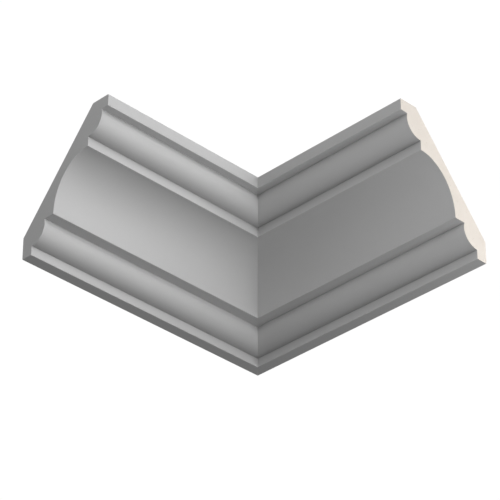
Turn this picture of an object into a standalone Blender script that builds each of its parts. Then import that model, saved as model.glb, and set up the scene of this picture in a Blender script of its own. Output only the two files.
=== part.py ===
"""Inside corner of a room cornice: two lengths of one crown moulding, mitred together.

The walls of the room are the planes of greatest X and greatest Y, and the ceiling lies on top.
The moulding bridges the angle between them, and stands on its lower edge when it is put down.
The origin is the middle of the underside of the whole corner. Sizes are in metres, +Z is up.
"""

from math import atan2, cos, pi, sin

import bmesh
import bpy
from mathutils import Euler, Matrix, Vector

# Lengths of the wall edges, from the corner of the room to each square end
LEFT_LENGTH = 0.258
RIGHT_LENGTH = 0.250

# Members of the profile, from the ceiling down to the wall
TOP_FILLET = 0.0106
UPPER_SOFFIT = 0.0073
UPPER_OVOLO_WIDTH = 0.0146
UPPER_OVOLO_HEIGHT = 0.0188
MIDDLE_FILLET = 0.0086
COVE_WIDTH = 0.0375
COVE_HEIGHT = 0.0452
LOWER_SOFFIT = 0.0103
LOWER_OVOLO_WIDTH = 0.0139
LOWER_OVOLO_HEIGHT = 0.0186
BOTTOM_FILLET = 0.0082
BOTTOM_SOFFIT = 0.0105

# Flats that bear on the wall and on the ceiling, one at each edge of the sloping back
WALL_FLAT = 0.0198
CEILING_FLAT = 0.0177

# Softened corners of the face, and the hairline joint between the mitred ends
ARRIS_RADIUS = 0.0005
MITRE_GAP = 0.0003

# Straight pieces in the turn of each kind of curve
ARRIS_STEPS = 4
OVOLO_STEPS = 24
COVE_STEPS = 28

# Grey primer of the face: linear colour and roughness
PRIMER_COLOUR = (0.58, 0.58, 0.58, 1.0)
PRIMER_ROUGHNESS = 0.7

# What the members of the profile add up to
HEIGHT = (TOP_FILLET + UPPER_OVOLO_HEIGHT + MIDDLE_FILLET
          + COVE_HEIGHT + LOWER_OVOLO_HEIGHT + BOTTOM_FILLET)
PROJECTION = (UPPER_SOFFIT + UPPER_OVOLO_WIDTH + COVE_WIDTH
              + LOWER_SOFFIT + LOWER_OVOLO_WIDTH + BOTTOM_SOFFIT)

# The corner of the room, where the two wall planes meet
ROOM_CORNER = Vector((LEFT_LENGTH / 2, RIGHT_LENGTH / 2, 0.0))

# Directions in the section, with the wall on the left and the room on the right
ROOM_WARD = 0.0
UPWARD = pi / 2
WALL_WARD = pi
DOWNWARD = -pi / 2


class Section:
    """A pen that draws the face of the moulding, from the ceiling down to the wall.

    Each point is (distance from the wall, height above the lower edge).
    """

    def __init__(self, reach, level):
        self.reach = reach
        self.level = level
        self.points = []

    def turn(self, across, up, width, height, start, end, steps):
        """Draw a stretch of an ellipse whose centre lies across and up from the pen."""
        centre_across = self.reach + across
        centre_up = self.level + up
        for step in range(steps + 1):
            angle = start + (end - start) * step / steps
            self.points.append((centre_across + width * cos(angle),
                                centre_up + height * sin(angle)))

    def soften(self, across, up, start, end):
        """Round off a square corner. The solid lies across and up from it."""
        self.turn(across * ARRIS_RADIUS, up * ARRIS_RADIUS,
                  ARRIS_RADIUS, ARRIS_RADIUS, start, end, ARRIS_STEPS)

    def ceiling_corner(self):
        self.soften(-1, -1, UPWARD, ROOM_WARD)

    def lower_corner(self):
        self.soften(-1, 1, ROOM_WARD, DOWNWARD)

    def wall_corner(self):
        self.soften(1, 1, DOWNWARD, -WALL_WARD)

    def fillet(self, height):
        """An upright band with a softened lower corner."""
        self.level -= height
        self.lower_corner()

    def soffit(self, width):
        """A level underside, back towards the wall."""
        self.reach -= width

    def ovolo(self, width, height):
        """A true round that swells out below the soffit and ends level at its foot."""
        radius = (width ** 2 + height ** 2) / (2 * height)
        centre_up = radius - height
        self.turn(-width, centre_up, radius, radius,
                  atan2(-centre_up, width), DOWNWARD, OVOLO_STEPS)
        self.reach -= width
        self.level -= height

    def cove(self, width, height):
        """A quarter hollow that starts level and ends upright, between softened corners."""
        hollow_width = width - ARRIS_RADIUS
        hollow_height = height - ARRIS_RADIUS
        self.turn(-ARRIS_RADIUS, -hollow_height, hollow_width, hollow_height,
                  UPWARD, WALL_WARD, COVE_STEPS)
        self.reach -= width
        self.level -= height
        self.lower_corner()


def crown_section():
    """The whole section of the moulding as one closed outline."""
    section = Section(PROJECTION, HEIGHT)
    section.ceiling_corner()
    section.fillet(TOP_FILLET)
    section.soffit(UPPER_SOFFIT)
    section.ovolo(UPPER_OVOLO_WIDTH, UPPER_OVOLO_HEIGHT)
    section.fillet(MIDDLE_FILLET)
    section.cove(COVE_WIDTH, COVE_HEIGHT)
    section.soffit(LOWER_SOFFIT)
    section.ovolo(LOWER_OVOLO_WIDTH, LOWER_OVOLO_HEIGHT)
    section.fillet(BOTTOM_FILLET)
    section.soffit(BOTTOM_SOFFIT)
    section.wall_corner()
    wall_flat_top = (0.0, WALL_FLAT)
    ceiling_flat_back = (PROJECTION - CEILING_FLAT, HEIGHT)
    return section.points + [wall_flat_top, ceiling_flat_back]


def clear_scene():
    for scene_object in list(bpy.data.objects):
        bpy.data.objects.remove(scene_object, do_unlink=True)


def new_collection(name):
    collection = bpy.data.collections.new(name)
    bpy.context.scene.collection.children.link(collection)
    return collection


def primer(name):
    """Matt grey primer, as sprayed on the face at the works."""
    material = bpy.data.materials.new(name)
    material.use_nodes = True
    shader = material.node_tree.nodes["Principled BSDF"]
    shader.inputs["Base Color"].default_value = PRIMER_COLOUR
    shader.inputs["Roughness"].default_value = PRIMER_ROUGHNESS
    shader.inputs["Metallic"].default_value = 0.0
    material.diffuse_color = PRIMER_COLOUR
    return material


def extruded_section(name, length, collection):
    """A curve object of the section, half of the length to each side of its own middle."""
    points = crown_section()
    curve = bpy.data.curves.new(name + "_outline", "CURVE")
    curve.dimensions = "2D"
    curve.fill_mode = "BOTH"
    curve.extrude = length / 2
    spline = curve.splines.new("POLY")
    spline.points.add(len(points) - 1)
    spline.use_cyclic_u = True
    for spline_point, (reach, level) in zip(spline.points, points):
        spline_point.co = (reach, level, 0.0, 1.0)
    outline = bpy.data.objects.new(name + "_outline", curve)
    collection.objects.link(outline)
    return outline


def made_solid(outline, name, collection):
    """The curve as a closed mesh object in the same place. The curve is removed."""
    bpy.context.view_layer.update()
    evaluated = outline.evaluated_get(bpy.context.evaluated_depsgraph_get())
    mesh = bpy.data.meshes.new_from_object(evaluated)
    mesh.name = name
    welded = bmesh.new()
    welded.from_mesh(mesh)
    bmesh.ops.remove_doubles(welded, verts=welded.verts, dist=0.000001)
    bmesh.ops.recalc_face_normals(welded, faces=welded.faces)
    welded.to_mesh(mesh)
    welded.free()
    solid = bpy.data.objects.new(name, mesh)
    solid.parent = outline.parent
    solid.matrix_world = outline.matrix_world
    collection.objects.link(solid)
    bpy.data.objects.remove(outline, do_unlink=True)
    return solid


def mitre_cutter(name, side, collection):
    """A block that takes off all that lies past the mitre. side points into it from the length."""
    thickness = 2 * PROJECTION
    bpy.ops.mesh.primitive_cube_add(size=1.0)
    cutter = bpy.context.active_object
    cutter.name = name
    cutter.data.transform(Matrix.Diagonal((thickness, 4 * PROJECTION, 2 * HEIGHT, 1.0)))
    cutter.location = ROOM_CORNER + side * (thickness - MITRE_GAP) / 2
    cutter.location.z = HEIGHT / 2
    cutter.rotation_euler = side.to_track_quat("X", "Z").to_euler()
    cutter.display_type = "WIRE"
    cutter.hide_render = True
    for linked_to in list(cutter.users_collection):
        linked_to.objects.unlink(cutter)
    collection.objects.link(cutter)
    return cutter


def moulding_length(name, length, run, turn, room_corner, parts, cutters):
    """One length of moulding, from the corner of the room along its run to a square end."""
    outline = extruded_section(name, length, parts)
    outline.parent = room_corner
    outline.location = run * length / 2
    outline.rotation_euler = turn
    piece = made_solid(outline, name, parts)

    across_the_mitre = Vector((-run.x + run.y, run.x - run.y, 0.0)).normalized()
    cut = piece.modifiers.new("mitre", "BOOLEAN")
    cut.operation = "DIFFERENCE"
    cut.solver = "EXACT"
    cut.object = mitre_cutter(name + "_mitre_cutter", across_the_mitre, cutters)

    piece.data.materials.clear()
    piece.data.materials.append(primer(name + "_primer"))
    return piece


def build_corner():
    clear_scene()
    parts = new_collection("cornice_corner")
    cutters = new_collection("cutters")
    room_corner = bpy.data.objects.new("room_corner", None)
    room_corner.location = ROOM_CORNER
    parts.objects.link(room_corner)
    moulding_length("left_length", LEFT_LENGTH, Vector((-1.0, 0.0, 0.0)),
                    Euler((pi / 2, 0.0, -pi / 2)), room_corner, parts, cutters)
    moulding_length("right_length", RIGHT_LENGTH, Vector((0.0, -1.0, 0.0)),
                    Euler((pi / 2, 0.0, pi)), room_corner, parts, cutters)


build_corner()
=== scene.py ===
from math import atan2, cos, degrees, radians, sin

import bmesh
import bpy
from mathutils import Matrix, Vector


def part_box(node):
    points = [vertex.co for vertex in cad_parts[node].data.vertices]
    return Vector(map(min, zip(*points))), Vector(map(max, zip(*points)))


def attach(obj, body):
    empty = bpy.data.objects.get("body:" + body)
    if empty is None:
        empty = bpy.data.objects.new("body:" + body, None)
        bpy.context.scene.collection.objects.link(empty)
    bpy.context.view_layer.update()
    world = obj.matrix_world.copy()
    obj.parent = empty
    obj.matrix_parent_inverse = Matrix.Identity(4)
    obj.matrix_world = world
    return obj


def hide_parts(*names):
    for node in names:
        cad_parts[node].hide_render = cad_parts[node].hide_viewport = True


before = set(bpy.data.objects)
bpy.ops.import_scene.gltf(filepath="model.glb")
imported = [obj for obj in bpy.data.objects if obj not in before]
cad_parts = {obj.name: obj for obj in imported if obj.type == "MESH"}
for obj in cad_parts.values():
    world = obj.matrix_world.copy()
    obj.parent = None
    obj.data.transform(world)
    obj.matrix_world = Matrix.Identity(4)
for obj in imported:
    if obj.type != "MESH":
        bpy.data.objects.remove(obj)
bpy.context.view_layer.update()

# Inside corner of a room cornice: two lengths of primed foam crown moulding, mitred together.
# Each length is drawn once more here with finer curves and a finish on every side: grey primer
# on the face and the left end, bare moulded skin on the back, and open foam at the right end and
# inside the mitre.

# Members of the profile in metres, from the ceiling down to the wall, as the solids have them
TOP_FILLET = 0.0106
UPPER_SOFFIT = 0.0073
UPPER_OVOLO_WIDTH = 0.0146
UPPER_OVOLO_HEIGHT = 0.0188
MIDDLE_FILLET = 0.0086
COVE_WIDTH = 0.0375
COVE_HEIGHT = 0.0452
LOWER_SOFFIT = 0.0103
LOWER_OVOLO_WIDTH = 0.0139
LOWER_OVOLO_HEIGHT = 0.0186
BOTTOM_FILLET = 0.0082
BOTTOM_SOFFIT = 0.0105
WALL_FLAT = 0.0198
CEILING_FLAT = 0.0177
ARRIS_RADIUS = 0.0005

# Steps in the turn of each curve, finer than in the solids
ARRIS_STEPS = 6
OVOLO_STEPS = 48
COVE_STEPS = 56

# A fillet below a crease has a narrow strip right in the crease, then rows down to its corner
CREASE_STRIP = 0.0002
FILLET_ROWS = 8

# The glued joint shows only as a hairline, and a saw leaves the ends a touch less than sharp
GLUE_LINE = 0.00004
SAWN_EDGE = 0.00012

# How far the spray of the face drifts on to the flats behind its edges
OVERSPRAY_REACH = 0.006

# Painted shade: the primer's colour is darkened in the inner corners, where shade falls. Each pair
# is the share by which it is darker right in the corner, and the metres over which that fades out.
NO_PAINTED_SHADE = (0.0, 0.001)
SHADE_UNDER_SOFFIT = (0.31, 0.011)
SHADE_AT_OVOLO_FOOT = (0.27, 0.013)
SHADE_ON_MIDDLE_FILLET_TOP = (0.25, 0.01)
SHADE_ON_BOTTOM_FILLET_TOP = (0.11, 0.01)

# Linear colours: the darkest and palest tone of each finish, and of what lies on it or in it
PRIMER_DARK = (0.55, 0.55, 0.55, 1.0)
PRIMER_PALE = (0.6, 0.6, 0.6, 1.0)
DRIFTED_SPRAY = (0.57, 0.57, 0.57, 1.0)
FOAM_DARK = (0.675, 0.612, 0.539, 1.0)
FOAM_PALE = (0.792, 0.741, 0.684, 1.0)
FOAM_BUBBLE = (0.594, 0.524, 0.446, 1.0)
SKIN_DARK = (0.7, 0.6, 0.47, 1.0)
SKIN_PALE = (0.8, 0.71, 0.58, 1.0)
SKIN_PINHOLE = (0.45, 0.36, 0.26, 1.0)
# Black, which the painted shade in the inner corners blends the primer towards
PAINTED_SHADE_BLACK = (0.0, 0.0, 0.0, 1.0)

LEFT_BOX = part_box("left_length")
RIGHT_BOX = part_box("right_length")
HEIGHT = LEFT_BOX[1].z
PROJECTION = RIGHT_BOX[1].x - RIGHT_BOX[0].x
ROOM_CORNER = Vector((RIGHT_BOX[1].x, LEFT_BOX[1].y, 0.0))
ACROSS_THE_MITRE = Vector((1.0, -1.0, 0.0)).normalized()
LEFT_LENGTH = ROOM_CORNER.x - LEFT_BOX[0].x
RIGHT_LENGTH = ROOM_CORNER.y - RIGHT_BOX[0].y

# Places of the finishes in each piece's list of materials
PRIMED, BACK, CUT = range(3)

# The least part of a face's normal that lies along an axis: on a flat that is square to that axis,
# on an end or the mitre, and on the sloping back
SQUARE_ON = 0.999
END_ON = 0.5
SLOPING = 0.1

# Places closer than this, in metres, are the same
SLACK = 0.0000001

# The camera looks up into the corner at 45 degrees to both walls. The foot of the room's corner
# lies this far to its right, below it and ahead of it, in metres.
CAMERA_UPWARD_DEGREES = 32.14
CORNER_FROM_CAMERA = (0.00645, 0.10476, 2.1732)
FOCAL_LENGTH_MM = 188.16
SENSOR_MM = 36.0

# The studio floor is a storey below the cornice. The camera sees the floor and the white surround
# this bright, and the surround lights the moulding this strongly.
FLOOR_LEVEL = -2.45
FLOOR_WIDTH = 40.0
FLOOR_SHOWN = 0.86
SURROUND_SHOWN = 1.02
SURROUND_STRENGTH = 0.154

# Square lights that face the middle of the moulding: name, metres away, degrees round from square
# to the left length, degrees up, width in metres, watts
LIGHT_AIM = Vector((0.0, 0.0, 0.055))
LIGHTS = (
    ("right_front_soft_box", 2.2, 22.0, 15.0, 1.8, 16.7),
    ("left_front_soft_box", 2.2, -24.0, 22.0, 1.2, 6.35),
    ("side_soft_box", 2.2, -114.0, 0.0, 1.2, 5.15),
    ("front_soft_box", 1.28, 9.5, -7.6, 0.45, 3.1),
    ("corner_fill_light", 0.53, -49.3, 3.6, 0.45, 0.79),
    ("right_end_fill_light", 0.42, 16.6, -29.3, 0.3, 0.384),
    ("left_back_soft_box", 0.9, 165.0, 35.0, 0.5, 4.2),
    ("right_back_soft_box", 0.9, 100.0, 45.0, 0.5, 2.2),
)


class Signal:
    """A socket that takes part in Python arithmetic: each operator adds its Math node."""

    def __init__(self, finish, socket):
        self.finish = finish
        self.socket = socket

    def maths(self, operation, first, second):
        return self.finish.node("Math", {"operation": operation}, {0: first, 1: second})

    def __add__(self, other):
        return self.maths("ADD", self, other)

    def __radd__(self, other):
        return self.maths("ADD", other, self)

    def __sub__(self, other):
        return self.maths("SUBTRACT", self, other)

    def __rsub__(self, other):
        return self.maths("SUBTRACT", other, self)

    def __mul__(self, other):
        return self.maths("MULTIPLY", self, other)

    def __rmul__(self, other):
        return self.maths("MULTIPLY", other, self)


class Finish:
    """A material under construction, from its coordinates to its Principled BSDF."""

    def __init__(self, name, shift=(0.0, 0.0, 0.0), specular=0.5):
        self.material = bpy.data.materials.new(name)
        self.material.use_nodes = True
        self.tree = self.material.node_tree
        self.shader = self.tree.nodes["Principled BSDF"]
        self.shader.inputs["Specular IOR Level"].default_value = specular
        place = self.node("TexCoord", output="Object")
        self.place = self.node("Mapping", inputs={"Vector": place, "Location": shift})

    def node(self, kind, settings=None, inputs=None, output=0):
        """Add a node, set its properties and ramp stops first, then its sockets."""
        made = self.tree.nodes.new("ShaderNode" + kind)
        for name, value in (settings or {}).items():
            if name == "stops":
                self.set_stops(made.color_ramp.elements, value)
            else:
                setattr(made, name, value)
        for name, value in (inputs or {}).items():
            self.feed(made.inputs[name], value)
        return Signal(self, made.outputs[output])

    def set_stops(self, elements, stops):
        for place, (position, value) in enumerate(stops):
            element = elements[place] if place < len(elements) else elements.new(position)
            element.position = position
            element.color = (value, value, value, 1.0)

    def feed(self, socket, value):
        if isinstance(value, Signal):
            self.tree.links.new(value.socket, socket)
        else:
            socket.default_value = value

    def set(self, **inputs):
        for name, value in inputs.items():
            self.feed(self.shader.inputs[name.replace("_", " ").title()], value)

    def noise(self, size, detail=2.0, roughness=0.5, place=None):
        """Soft noise from 0 to 1 whose humps are about size metres across."""
        return self.node("TexNoise", inputs={"Vector": place or self.place, "Scale": 1.0 / size,
                                             "Detail": detail, "Roughness": roughness})

    def cells(self, size):
        """Distance to the nearest of many points, which lie about size metres apart."""
        return self.node("TexVoronoi", inputs={"Vector": self.place, "Scale": 1.0 / size},
                         output="Distance")

    def attribute(self, name):
        """A value from 0 to 1 that is kept on the piece's own vertices."""
        return self.node("Attribute", {"attribute_name": name}, output="Fac")

    def ramp(self, value, *stops):
        """Shape a value by straight stretches between (position, level) stops."""
        return self.node("ValToRGB", {"stops": stops}, {"Fac": value})

    def blend(self, share, dark, light):
        """A colour from one to the other, by a share from 0 to 1."""
        return self.node("Mix", {"data_type": "RGBA"},
                         {"Factor": share, 6: dark, 7: light}, output=2)

    def relief(self, height, depth, under=None):
        """Bump of so many metres between height 0 and height 1."""
        inputs = {"Height": height, "Distance": depth}
        if under is not None:
            inputs["Normal"] = under
        return self.node("Bump", inputs=inputs)


def grey(level):
    return (level, level, level, 1.0)


def primer(name, shift):
    """Sprayed matt grey primer: clouding, faint orange peel, dusty grain, and painted shade in the
    inner corners.
    """
    finish = Finish(name, shift, specular=0.35)
    clouds = finish.noise(0.06, detail=3.0)
    peel = finish.noise(0.0016, detail=2.0)
    dust = finish.noise(0.00035, detail=3.0, roughness=0.65)
    colour = finish.blend(clouds * 0.5 + peel * 0.2 + dust * 0.3, PRIMER_DARK, PRIMER_PALE)
    # Painted shade: the primer's colour is blended towards black in the inner corners
    finish.set(base_color=finish.blend(finish.attribute("painted_crease_shade"), colour, PAINTED_SHADE_BLACK),
               roughness=0.6 + 0.1 * dust,
               normal=finish.relief(dust, 0.000006, finish.relief(peel, 0.000012)))
    return finish.material


def cut_foam(name, shift):
    """Sawn foam: tiny round cells, a few larger bubbles and the faint drag of the teeth."""
    finish = Finish(name, shift, specular=0.2)
    cells = finish.cells(0.00045)
    bubbles = finish.ramp(finish.cells(0.0032), (0.06, 0.0), (0.13, 1.0))
    clouds = finish.noise(0.012, detail=3.0)
    along_the_blade = finish.node("Mapping", inputs={"Vector": finish.place,
                                                     "Scale": (1.0, 1.0, 0.04)})
    drag = finish.noise(0.0005, detail=2.0, place=along_the_blade)
    tone = finish.ramp(cells, (0.0, 0.55), (0.5, 1.0)) * 0.4 + clouds * 0.4 + drag * 0.2
    colour = finish.blend(bubbles, FOAM_BUBBLE, finish.blend(tone, FOAM_DARK, FOAM_PALE))
    sawn = finish.relief(drag, 0.00003, finish.relief(cells, 0.00005))
    finish.set(base_color=colour, roughness=0.88, normal=finish.relief(bubbles, 0.0002, sawn))
    return finish.material


def moulded_skin(name, shift):
    """The back as it left the mould: smooth cream skin, pinholes and spray along its edges."""
    finish = Finish(name, shift, specular=0.35)
    clouds = finish.noise(0.03, detail=4.0, roughness=0.6)
    fine = finish.noise(0.0015, detail=3.0)
    pinholes = finish.ramp(finish.cells(0.009), (0.035, 0.0), (0.06, 1.0))
    colour = finish.blend(pinholes, SKIN_PINHOLE, finish.blend(clouds, SKIN_DARK, SKIN_PALE))
    drift = finish.attribute("overspray")
    speckle = finish.noise(0.0008, detail=3.0, roughness=0.7)
    sprayed = finish.ramp(drift + speckle - 0.5, (0.35, 0.0), (0.85, 1.0))
    finish.set(base_color=finish.blend(sprayed, colour, DRIFTED_SPRAY),
               roughness=0.5 + 0.25 * fine,
               normal=finish.relief(pinholes, 0.0003, finish.relief(clouds, 0.0003)))
    return finish.material


class SectionPen:
    """Draws a section by dragging a vertex round it. X is the reach from the wall, Z the height."""

    def __init__(self, mesh, reach, level):
        self.mesh = mesh
        self.start = mesh.verts.new((reach, 0.0, level))
        self.tip = self.start
        self.shaded_creases = []

    def line(self, across, up, steps=1):
        for step in range(steps):
            drawn = bmesh.ops.extrude_vert_indiv(self.mesh, verts=[self.tip])
            self.tip = drawn["verts"][0]
            bmesh.ops.translate(self.mesh, vec=(across / steps, 0.0, up / steps), verts=[self.tip])

    def painted_crease_shade(self, above, below):
        """Note an inner corner at the tip, and how much shade is painted on the primer above and
        below it.
        """
        self.shaded_creases.append((self.tip.co.copy(), above, below))

    def turn(self, across, up, degrees_round, steps, widen=1.0):
        """Turn about a centre across and up from the tip, and widen the curve from its start."""
        start = self.tip.co.copy()
        centre = start + Vector((across / widen, 0.0, up))
        already_drawn = len(self.mesh.verts)
        bmesh.ops.spin(self.mesh, geom=[self.tip], cent=centre, axis=(0.0, 1.0, 0.0),
                       angle=radians(degrees_round), steps=steps)
        self.mesh.verts.ensure_lookup_table()
        curve = self.mesh.verts[already_drawn:]
        bmesh.ops.scale(self.mesh, vec=(widen, 1.0, 1.0), space=Matrix.Translation(-start),
                        verts=curve)
        self.tip = curve[-1]

    def soften(self, across, up):
        """The small round of an outward corner, about a centre across or up from the tip."""
        self.turn(across * ARRIS_RADIUS, up * ARRIS_RADIUS, 90.0, ARRIS_STEPS)

    def fillet(self, height):
        """An upright band down to its softened corner, from the foot of an ovolo."""
        self.line(0.0, -CREASE_STRIP)
        self.line(0.0, CREASE_STRIP + ARRIS_RADIUS - height, FILLET_ROWS)
        self.soften(-1, 0)

    def soffit(self, width):
        """A level underside, from a softened corner into the crease above the next member."""
        self.line(ARRIS_RADIUS - width, 0.0)

    def ovolo(self, width, height):
        """A true round that swells out below the soffit and ends level in a crease."""
        radius = (width ** 2 + height ** 2) / (2 * height)
        spring = degrees(atan2(height - radius, width))
        self.turn(-width, radius - height, 90.0 + spring, OVOLO_STEPS)

    def cove(self, width, height):
        """A hollow between two softened corners."""
        hollow_width = width - ARRIS_RADIUS
        hollow_height = height - ARRIS_RADIUS
        self.turn(0.0, -hollow_height, -90.0, COVE_STEPS, hollow_width / hollow_height)
        self.soften(-1, 0)

    def close(self):
        self.mesh.edges.new((self.tip, self.start))


def draw_section(mesh):
    """The outline, from the ceiling flat down the face and up the back. Gives its inner corners,
    with the shade painted at each.
    """
    pen = SectionPen(mesh, PROJECTION - ARRIS_RADIUS - OVERSPRAY_REACH, HEIGHT)
    pen.line(OVERSPRAY_REACH, 0.0)
    pen.soften(0, -1)
    pen.line(0.0, 2 * ARRIS_RADIUS - TOP_FILLET)
    pen.soften(-1, 0)
    pen.soffit(UPPER_SOFFIT)
    pen.painted_crease_shade(NO_PAINTED_SHADE, SHADE_UNDER_SOFFIT)
    pen.ovolo(UPPER_OVOLO_WIDTH, UPPER_OVOLO_HEIGHT)
    pen.painted_crease_shade(SHADE_AT_OVOLO_FOOT, SHADE_ON_MIDDLE_FILLET_TOP)
    pen.fillet(MIDDLE_FILLET)
    pen.cove(COVE_WIDTH, COVE_HEIGHT)
    pen.soffit(LOWER_SOFFIT)
    pen.ovolo(LOWER_OVOLO_WIDTH, LOWER_OVOLO_HEIGHT)
    pen.painted_crease_shade(SHADE_AT_OVOLO_FOOT, SHADE_ON_BOTTOM_FILLET_TOP)
    pen.fillet(BOTTOM_FILLET)
    pen.line(2 * ARRIS_RADIUS - BOTTOM_SOFFIT, 0.0)
    pen.soften(0, 1)
    pen.line(0.0, OVERSPRAY_REACH)
    pen.line(0.0, WALL_FLAT - ARRIS_RADIUS - OVERSPRAY_REACH)
    pen.line(PROJECTION - CEILING_FLAT, HEIGHT - WALL_FLAT)
    pen.close()
    return pen.shaded_creases


def cut_mitre(mesh):
    """Cut away all that lies past the mitre, and close the cut."""
    all_of_it = mesh.verts[:] + mesh.edges[:] + mesh.faces[:]
    cut = bmesh.ops.bisect_plane(mesh, geom=all_of_it, dist=SLACK,
                                 plane_co=-ACROSS_THE_MITRE * GLUE_LINE / 2,
                                 plane_no=ACROSS_THE_MITRE, clear_outer=True)
    edges = [element for element in cut["geom_cut"] if isinstance(element, bmesh.types.BMEdge)]
    bmesh.ops.edgeloop_fill(mesh, edges=edges)


def give_finishes(mesh, outer_end):
    """Which finish each face takes, told by the way it faces. The run is still along Y."""
    for face in mesh.faces:
        normal = face.normal
        on_a_flat = normal.z > SQUARE_ON or normal.x < -SQUARE_ON
        on_the_slope = normal.x < -SLOPING and normal.z > SLOPING
        if on_a_flat or on_the_slope:
            face.material_index = BACK
        elif normal.y < -END_ON:
            face.material_index = CUT
        elif normal.y > END_ON:
            face.material_index = outer_end
        else:
            face.material_index = PRIMED


def mark_overspray(mesh):
    """Full from the softened edges that the spray came round, nothing past its reach."""
    drift = mesh.verts.layers.float.new("overspray")
    past_the_round = 1.5 * ARRIS_RADIUS
    for vert in mesh.verts:
        sprayed = vert.co.x > PROJECTION - past_the_round or vert.co.z < past_the_round
        vert[drift] = 1.0 if sprayed else 0.0


def paint_crease_shade(mesh, shaded_creases, length):
    """Painted shade: how much darker the primer is, most in an inner corner, nothing on the outer
    end.
    """
    depth = mesh.verts.layers.float.new("painted_crease_shade")
    for vert in mesh.verts:
        if vert.co.y > length - SAWN_EDGE / 2:
            continue
        for corner, above, below in shaded_creases:
            tone, reach = above if vert.co.z > corner.z - SLACK else below
            fade = max(0.0, 1.0 - (vert.co.xz - corner.xz).length / reach)
            vert[depth] = max(vert[depth], tone * fade ** 2)


def moulding(name, length, to_room, outer_end, finishes):
    """One length of the moulding, from its mitre to its square outer end."""
    mesh = bmesh.new()
    shaded_creases = draw_section(mesh)
    section = bmesh.ops.edgeloop_fill(mesh, edges=mesh.edges[:])["faces"]
    run = length - SAWN_EDGE
    bmesh.ops.translate(mesh, vec=(0.0, run, 0.0), verts=mesh.verts[:])
    drawn = bmesh.ops.extrude_face_region(mesh, geom=section)["geom"]
    inner = [element for element in drawn if isinstance(element, bmesh.types.BMVert)]
    bmesh.ops.translate(mesh, vec=(0.0, -run, 0.0), verts=inner)
    bmesh.ops.recalc_face_normals(mesh, faces=mesh.faces[:])
    cut_mitre(mesh)
    mesh.normal_update()
    sawn = [face for face in mesh.faces if face.normal.y > END_ON]
    bmesh.ops.inset_region(mesh, faces=sawn, thickness=SAWN_EDGE, depth=SAWN_EDGE)
    bmesh.ops.recalc_face_normals(mesh, faces=mesh.faces[:])
    give_finishes(mesh, outer_end)
    mark_overspray(mesh)
    paint_crease_shade(mesh, shaded_creases, length)
    bmesh.ops.transform(mesh, matrix=to_room, verts=mesh.verts[:])
    bmesh.ops.recalc_face_normals(mesh, faces=mesh.faces[:])

    data = bpy.data.meshes.new(name)
    mesh.to_mesh(data)
    mesh.free()
    for finish in finishes:
        data.materials.append(finish)
    data.shade_smooth()
    data.set_sharp_from_angle(angle=radians(30.0))
    piece = bpy.data.objects.new(name, data)
    bpy.context.scene.collection.objects.link(piece)
    even_flats = piece.modifiers.new("even_flats", "WEIGHTED_NORMAL")
    even_flats.keep_sharp = True
    return piece


def to_room(reach_way, run_way):
    """From a section's reach, run and height to the room, with the room's corner at zero."""
    turn = Matrix((reach_way, run_way, (0.0, 0.0, 1.0))).transposed()
    return Matrix.Translation(ROOM_CORNER) @ turn.to_4x4()


def build_mouldings():
    left = moulding("left_moulding", LEFT_LENGTH, to_room((0.0, -1.0, 0.0), (-1.0, 0.0, 0.0)),
                    PRIMED, [primer("left_primer", (0.31, 0.12, 0.0)),
                             moulded_skin("left_back_skin", (0.11, 0.05, 0.2)),
                             cut_foam("left_cut_foam", (0.0, 0.0, 0.0))])
    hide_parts("left_length")
    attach(left, "root")

    right = moulding("right_moulding", RIGHT_LENGTH, to_room((-1.0, 0.0, 0.0), (0.0, -1.0, 0.0)),
                     CUT, [primer("right_primer", (0.0, 0.0, 0.0)),
                           moulded_skin("right_back_skin", (0.0, 0.0, 0.0)),
                           cut_foam("right_cut_foam", (0.07, 0.02, 0.0))])
    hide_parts("right_length")
    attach(right, "root")


def pale_in_the_picture(tree, shader, brightness):
    """Show an even pale tone to the camera. The light that reaches the moulding is the shader's."""
    kind = "ShaderNodeEmission" if shader.type == "BSDF_PRINCIPLED" else "ShaderNodeBackground"
    tone = tree.nodes.new(kind)
    tone.inputs["Color"].default_value = grey(brightness)
    path = tree.nodes.new("ShaderNodeLightPath")
    mix = tree.nodes.new("ShaderNodeMixShader")
    tree.links.new(path.outputs["Is Camera Ray"], mix.inputs[0])
    tree.links.new(shader.outputs[0], mix.inputs[1])
    tree.links.new(tone.outputs[0], mix.inputs[2])
    output = next(node for node in tree.nodes if node.type.startswith("OUTPUT"))
    tree.links.new(mix.outputs[0], output.inputs["Surface"])


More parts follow.
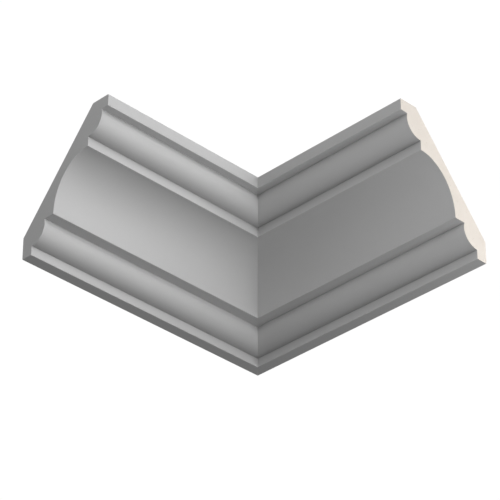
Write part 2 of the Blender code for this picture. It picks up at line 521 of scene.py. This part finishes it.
def build_floor():
    """Plain pale floor of the studio, a storey below the cornice."""
    mesh = bmesh.new()
    bmesh.ops.create_grid(mesh, x_segments=1, y_segments=1, size=FLOOR_WIDTH / 2)
    bmesh.ops.translate(mesh, vec=(0.0, 0.0, FLOOR_LEVEL), verts=mesh.verts[:])
    data = bpy.data.meshes.new("studio_floor")
    mesh.to_mesh(data)
    mesh.free()
    finish = Finish("studio_floor")
    finish.set(base_color=grey(0.8), roughness=0.9)
    pale_in_the_picture(finish.tree, finish.shader, FLOOR_SHOWN)
    data.materials.append(finish.material)
    floor = bpy.data.objects.new("studio_floor", data)
    bpy.context.scene.collection.objects.link(floor)


def build_camera():
    """A long lens, looking up into the corner at 45 degrees to both walls."""
    data = bpy.data.cameras.new("camera")
    data.sensor_width = SENSOR_MM
    data.lens = FOCAL_LENGTH_MM
    data.clip_end = 60.0
    camera = bpy.data.objects.new("camera", data)
    bpy.context.scene.collection.objects.link(camera)
    facing = Matrix.Rotation(radians(-45.0), 4, "Z")
    facing @= Matrix.Rotation(radians(90.0 + CAMERA_UPWARD_DEGREES), 4, "X")
    right, down, ahead = CORNER_FROM_CAMERA
    back_from_corner = facing @ Vector((-right, down, ahead))
    camera.matrix_world = Matrix.Translation(ROOM_CORNER + back_from_corner) @ facing
    bpy.context.scene.camera = camera


def soft_box(name, distance, azimuth, elevation, width, watts):
    """A square light that faces the moulding, for one row of LIGHTS."""
    turn, rise = radians(azimuth), radians(elevation)
    outward = Vector((sin(turn) * cos(rise), -cos(turn) * cos(rise), sin(rise)))
    data = bpy.data.lights.new(name, "AREA")
    data.shape = "SQUARE"
    data.size = width
    data.energy = watts
    light = bpy.data.objects.new(name, data)
    light.location = LIGHT_AIM + outward * distance
    light.rotation_euler = outward.to_track_quat("Z", "Y").to_euler()
    light.visible_camera = False
    bpy.context.scene.collection.objects.link(light)


def build_light():
    """The white surround, and the lights in front of the moulding and behind it."""
    world = bpy.data.worlds.new("studio")
    bpy.context.scene.world = world
    world.use_nodes = True
    surround = world.node_tree.nodes["Background"]
    surround.inputs["Color"].default_value = grey(1.0)
    surround.inputs["Strength"].default_value = SURROUND_STRENGTH
    pale_in_the_picture(world.node_tree, surround, SURROUND_SHOWN)
    for light in LIGHTS:
        soft_box(*light)
    bpy.context.scene.view_settings.view_transform = "Standard"


build_camera()
build_mouldings()
build_floor()
build_light()
